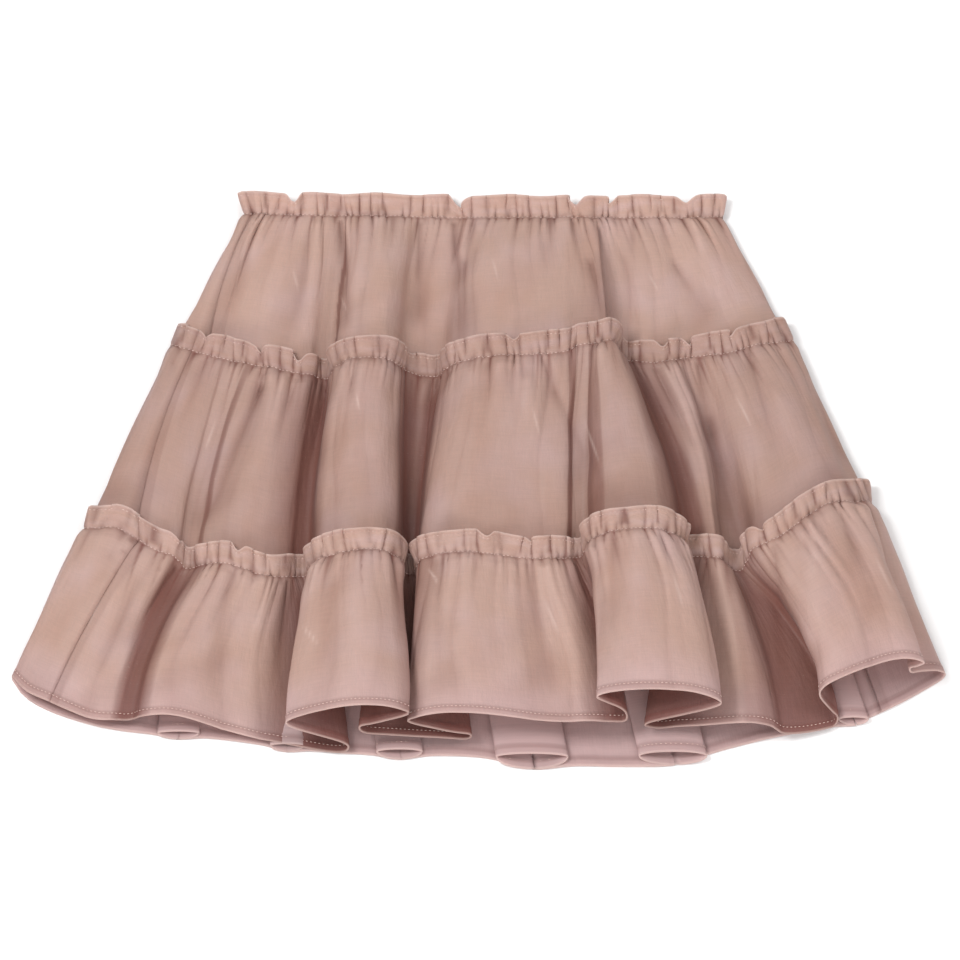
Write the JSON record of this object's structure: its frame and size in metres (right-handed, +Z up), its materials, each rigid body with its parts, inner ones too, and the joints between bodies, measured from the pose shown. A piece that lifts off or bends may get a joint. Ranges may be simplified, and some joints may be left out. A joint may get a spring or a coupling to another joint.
{
  "type": "tiered skirt",
  "caption": "Child's tiered skirt in dusty pink satin-faced organza, gathered at the waist and at each tier, laid flat.",
  "frame": {"origin": "centre of the bounding box at the surface it lies on", "axes": "+X across from the wearer's right to left side seam as seen, +Y from hem to waist, +Z up off the surface"},
  "size_m": [0.4667, 0.3142, 0.0396],
  "materials": {
    "tier_1_front": "satin-faced sheer weave, soft sheen",
    "tier_1_back": "satin-faced sheer weave, soft sheen",
    "tier_2_front": "satin-faced sheer weave, soft sheen",
    "tier_2_back": "satin-faced sheer weave, soft sheen",
    "tier_3_front": "satin-faced sheer weave, soft sheen",
    "tier_3_back": "satin-faced sheer weave, soft sheen"
  },
  "bodies": {
    "root": {"tier_1_front": "tier_1_front", "tier_1_back": "tier_1_back", "tier_2_front": "tier_2_front", "tier_2_back": "tier_2_back", "tier_3_front": "tier_3_front", "tier_3_back": "tier_3_back"}
  },
  "joints": []
}
